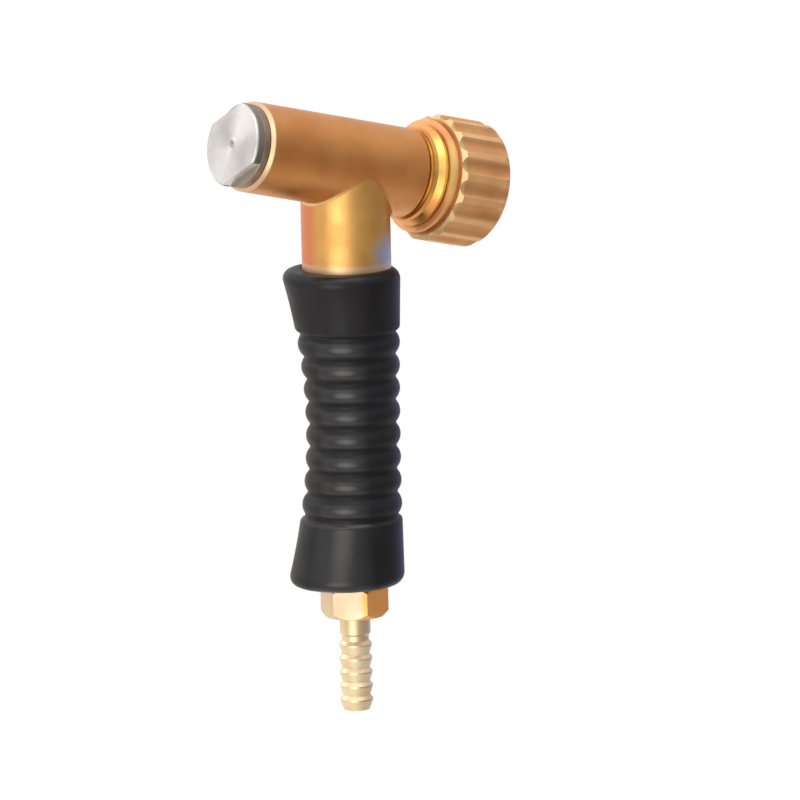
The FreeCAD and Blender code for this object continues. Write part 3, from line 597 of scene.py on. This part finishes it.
def polish(graph, place):
    """Where gloves have polished the sleeve: on the ribs of both flanks, not in the grooves,
    a little on the skirt, and hardly on the flare. The bare grooves stand as painted shade
    between the ribs, and the polished flank that faces the lamps gives a painted sheen."""
    height = handle_station(graph, place)
    from_first = graph.calc("SUBTRACT", height, BEAD_FIRST * MM)
    turn = graph.calc("MULTIPLY", from_first, 2 * math.pi / (BEAD_PITCH * MM))
    # Less coat in the grooves: partly wear, partly painted shade between the ribs.
    grooves_worn_and_shaded, ribs_worn, skirt_worn, flare_worn = 0.16, 1.0, 0.78, 0.30
    worn = graph.spread(graph.calc("COSINE", turn), -0.55, 0.55, grooves_worn_and_shaded, ribs_worn)
    on_skirt = graph.edge(height, SKIRT_START + 0.6, SKIRT_START - 0.6)
    worn = graph.mix(on_skirt, worn, skirt_worn)
    on_flare = graph.edge(height, FLARE_END - 1.5, FLARE_END + 0.5)
    worn = graph.mix(on_flare, worn, flare_worn)
    # The flank with most coat faces the lamps: polish and painted sheen.
    azimuth, gone, full = POLISHED_AND_SHEEN_FLANKS
    flank = graph.calc("ABSOLUTE", nearness(graph, place, azimuth))
    return graph.calc("MULTIPLY", worn, graph.spread(flank, gone, full, 0.12, 0.72))


def rubber(name, tone, gloss, polished=False):
    """Moulded rubber: fine grain, faint rub marks, and a polish where gloves have rubbed it, which
    also lays painted shade in the grooves and painted sheen on the flank facing the lamps.
    """
    graph = new_material(name)
    place = graph.place()
    dusty = tint("dusty " + tone)
    clouds = graph.noise(place, scale=60.0, detail=5.0, roughness=0.6)
    colour = graph.blend(graph.spread(clouds, 0.35, 0.75), tint(tone), dusty)
    flattened = graph.vector("MULTIPLY", place, (1.0, 1.0, 4.0))
    rubs = graph.noise(flattened, scale=320.0, detail=4.0, roughness=0.7)
    colour = graph.blend(graph.spread(rubs, 0.56, 0.74, 0.0, 0.35), colour, dusty)
    grain = graph.noise(place, scale=2600.0, roughness=0.6)
    dents = graph.noise(place, scale=420.0, detail=2.0)
    normal = graph.bump(grain, depth=0.02, strength=0.8)
    normal = graph.bump(dents, depth=0.03, strength=0.5, normal=normal)
    return graph.principled({
        "Base Color": colour,
        "Roughness": graph.vary(graph.noise(place, scale=150.0, detail=4.0), *gloss),
        "Normal": normal,
        "Specular IOR Level": 0.14,
        "Coat Weight": polish(graph, place) if polished else 0.0,
        "Coat Roughness": 0.24,
        "Coat Normal": normal,
    })


def laminate(name, tone):
    """Fibre or paper laminate, with its layers showing as fine bands."""
    graph = new_material(name)
    place = graph.place()
    layers = graph.streaks(handle_radius(graph, place), scale=4000.0)
    drawn_out = graph.vector("MULTIPLY", place, (1.0, 1.0, 0.2))
    fibres = graph.noise(drawn_out, scale=900.0, detail=4.0, roughness=0.7)
    bands = graph.spread(graph.calc("MULTIPLY", layers, fibres), 0.15, 0.4)
    return graph.principled({
        "Base Color": graph.blend(bands, tint(tone), tint("dark " + tone)),
        "Roughness": graph.vary(fibres, 0.55, 0.75),
        "Normal": graph.bump(fibres, depth=0.015, strength=0.7),
    })


COPPER = turned_metal("copper", "copper", gloss=(0.28, 0.42))
WASHER = turned_metal("pale_copper", "pale copper", gloss=(0.30, 0.42))
INNER = turned_metal("turned_brass", "inner brass", gloss=(0.28, 0.40))
STEEL = turned_metal("drawn_wire", "wire", gloss=(0.25, 0.35))
# The gland gets painted shade along its top and lower side.
BRIGHT = turned_metal(
    "polished_brass", "gland", gloss=(0.30, 0.40), marks=1500.0, mark_depth=0.002,
    specks=0.12, edge_shade_tone="gland edge shade",
)
PALE = turned_metal(
    "pale_brass", "hose tail", gloss=(0.34, 0.46), marks=1700.0, mark_depth=0.003,
    specks=0.15, station=handle_station,
)
SEAL = rubber("seal_rubber", "seal", gloss=(0.35, 0.5))
SLEEVE = rubber("grip_rubber", "sleeve", gloss=(0.48, 0.58), polished=True)
CORE = laminate("core_laminate", "laminate")
FIBRE = laminate("red_fibre", "fibre")

FINISHES = {
    "torch_body": tee_brass(), "nose_plug": spun_disc(), "nose_gasket": gasket_copper(),
    "gas_diffuser": INNER, "collet_body": COPPER, "collet": COPPER, "thrust_pin": INNER,
    "pin_clip": STEEL, "gland_gasket": WASHER, "rear_gland": BRIGHT, "back_cap": fluted_brass(),
    "cap_seal": SEAL, "neck_reducer": INNER, "neck_seal": SEAL, "stem_tube": COPPER,
    "handle_core": CORE, "end_fitting": INNER, "grip_washer": FIBRE, "grip": SLEEVE,
    "union_nut": hexagon_brass(), "hose_tail": PALE, "tail_seal": FIBRE,
}
for node_name, finish in FINISHES.items():
    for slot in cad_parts[node_name].material_slots:
        slot.material = finish


# The sleeve's outline is worked out for each direction about the handle axis, in mm. Angles
# are measured from the nose side, in radians.
def grip_sides(height):
    """Distances from the handle axis to the hollow finger side and to the palm side."""
    front = WAIST_FRONT + (height - WAIST_HEIGHT) ** 2 / (2 * HOLLOW_RADIUS)
    back = PALM_BOTTOM + (height - GRIP_BOTTOM) / (GRIP_TOP - GRIP_BOTTOM) * PALM_LEAN
    return front, back


def reach(angle, height, inset):
    """Distance from the handle axis to the rubber. Each section is a circle, off the axis."""
    front, back = grip_sides(height)
    radius = (front + back) / 2 - inset
    shift = (front - back) / 2
    return shift * math.cos(angle) + math.sqrt(radius ** 2 - (shift * math.sin(angle)) ** 2)


def soft_max(first, second, width):
    """The larger of two lengths, rounded over where they differ by less than the width."""
    gap = max(width - abs(first - second), 0.0) / width
    return max(first, second) + gap * gap * width / 4


def quarter(distance, roundness):
    """Inset of a rounded edge at a distance from its end."""
    if distance >= roundness:
        return 0.0
    return roundness - math.sqrt(roundness ** 2 - (roundness - distance) ** 2)


def side_reach(angle, height):
    """The rubber's outline between the two rims: flare, valleys and beads, or skirt."""
    widest = reach(angle, height, BEAD_DEPTH)
    past = max(height - FLARE_END, SKIRT_START - height)
    if past >= 0:
        return soft_max(widest, reach(angle, height, quarter(past, SHOULDER)), VALLEY_BLEND)
    for number in range(BEAD_COUNT):
        middle = BEAD_FIRST - BEAD_PITCH * number
        offset = abs(height - middle)
        if offset < BEAD_ROUND:
            inset = BEAD_ROUND - math.sqrt(BEAD_ROUND ** 2 - offset ** 2)
            widest = soft_max(widest, reach(angle, middle, inset), VALLEY_BLEND)
    return widest


def rim_reach(angle, height, turn):
    """Distance to the rounded rim, after a turn in radians from its flat end."""
    return reach(angle, height, RIM_ROUND * (1 - math.cos(turn)))


def rim_turn(angle, end, bore):
    """How far the rim turns before it comes to the bore, a quarter turn at most."""
    low, high = 0.0, math.pi / 2
    if reach(angle, end, RIM_ROUND) >= bore:
        return high
    for _ in range(HALVINGS):
        turn = (low + high) / 2
        if rim_reach(angle, end, turn) > bore:
            low = turn
        else:
            high = turn
    return high


def rim_points(angle, end, inward, bore):
    """The rounded rim of one end, from its side to the bore, as (reach, height) pairs."""
    last = rim_turn(angle, end, bore)
    points = []
    for step in range(RIM_STEPS + 1):
        turn = last * step / RIM_STEPS
        height = end + inward * RIM_ROUND * (1 - math.sin(turn))
        points.append((rim_reach(angle, height, turn), height))
    inner, lip = points[-1]
    points[-1] = (max(inner, bore + LIP), lip)
    points.append((bore, lip + inward * LIP))
    return points


def grip_column(angle):
    """All points of the rubber's skin in one direction, closed through the bore."""
    start = GRIP_TOP - RIM_ROUND
    stop = GRIP_BOTTOM + RIM_ROUND
    count = round((start - stop) / ROW_HEIGHT)
    column = rim_points(angle, GRIP_TOP, -1, NECK_BORE)[::-1]
    for step in range(1, count):
        height = start + (stop - start) * step / count
        column.append((side_reach(angle, height), height))
    column += rim_points(angle, GRIP_BOTTOM, 1, RECESS_BORE)
    column += [
        (RECESS_BORE, RECESS_TOP),
        (CORE_BORE, RECESS_TOP),
        (CORE_BORE, NECK_BORE_BOTTOM),
        (NECK_BORE, NECK_BORE_BOTTOM),
    ]
    return column


def build_grip():
    """The rubber sleeve as one closed mesh, in place of its solid."""
    points = []
    for index in range(COLUMNS):
        angle = 2 * math.pi * index / COLUMNS
        for distance, height in grip_column(angle):
            x = -distance * math.cos(angle) * MM
            y = distance * math.sin(angle) * MM
            points.append((x, y, height * MM))
    rows = len(points) // COLUMNS
    faces = []
    for index in range(COLUMNS):
        following = (index + 1) % COLUMNS
        for row in range(rows):
            below = (row + 1) % rows
            faces.append((
                index * rows + row,
                index * rows + below,
                following * rows + below,
                following * rows + row,
            ))
    mesh = bpy.data.meshes.new("rubber_sleeve")
    mesh.from_pydata(points, [], faces)
    mesh.validate()
    for face in mesh.polygons:
        face.use_smooth = True
    mesh.materials.append(SLEEVE)
    sleeve = add_object("rubber_sleeve", mesh)
    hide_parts("grip")
    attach(sleeve, "torch")


build_grip()


def hang_lamp(name, direction, distance, width, height, power, colour=(1.0, 1.0, 1.0)):
    """A soft rectangular lamp that faces the torch."""
    data = bpy.data.lights.new(name, "AREA")
    data.shape = "RECTANGLE"
    data.size = width
    data.size_y = height
    data.energy = power
    data.color = colour
    lamp = add_object(name, data)
    lamp.location = LAMP_AIM + towards(*direction) * distance
    lamp.rotation_euler = (LAMP_AIM - lamp.location).to_track_quat("-Z", "Y").to_euler()


hang_lamp(
    "key", direction=(-60.0, 46.0), distance=1.3, width=0.9, height=0.9, power=4.8,
    colour=(1.0, 0.98, 0.95),
)
hang_lamp("top", direction=(10.0, 78.0), distance=1.2, width=0.9, height=0.7, power=6.6)


def studio():
    """White surroundings for the eye, and a soft pale tent for what the metal mirrors."""
    graph = Graph(bpy.data.worlds.new("studio"), "ShaderNodeOutputWorld")
    looked_at = graph.place("Generated")
    rise = {"Value": handle_station(graph, looked_at), "From Min": -1.0}
    glow = graph.ramp(graph.add("ShaderNodeMapRange", None, rise).outputs[0], TENT)
    for direction, inner, outer, added in PATCHES:
        nearby = graph.vector("DOT_PRODUCT", looked_at, towards(*direction))
        gone, full = math.cos(math.radians(outer)), math.cos(math.radians(inner))
        glow = graph.vector("MULTIPLY_ADD", graph.spread(nearby, gone, full), added, glow)
    tent = graph.add("ShaderNodeBackground", None, {"Color": glow})
    white = graph.add("ShaderNodeBackground", None, {"Color": tint("white")})
    bpy.context.scene.world = graph.for_camera(seen=white, other=tent)


studio()


def floor_white():
    """White to the camera; in mirrors and as light it glows as a pale floor brighter than white,
    with a painted shade spot and faint clouds.
    """
    graph = new_material("floor_white")
    place = graph.place()
    away = graph.vector("LENGTH", graph.vector("SUBTRACT", place, SHADE_SPOT))
    # Painted shade: a dimmer spot on the glowing floor.
    pale = graph.blend(graph.spread(away, SHADE_NEAR, SHADE_FAR), tint("shaded floor"), tint("floor"))
    clouds = graph.vary(graph.noise(place, scale=8.0), 0.0, 0.08)
    pale = graph.blend(clouds, pale, tint("cloudy floor"))
    mirrored = graph.add("ShaderNodeEmission", None, {"Color": pale})
    white = graph.add("ShaderNodeEmission", None, {"Color": tint("white")})
    return graph.for_camera(seen=white, other=mirrored)


def floor():
    """A plain white floor well below the torch, which hangs free as it does in the photo."""
    corners = [
        (along * FLOOR_HALF, across * FLOOR_HALF, FLOOR_LEVEL)
        for along, across in ((-1, -1), (1, -1), (1, 1), (-1, 1))
    ]
    mesh = bpy.data.meshes.new("floor")
    mesh.from_pydata(corners, [], [(0, 1, 2, 3)])
    mesh.materials.append(floor_white())
    plane = add_object("floor", mesh)


floor()
bpy.context.scene.view_settings.view_transform = "Standard"
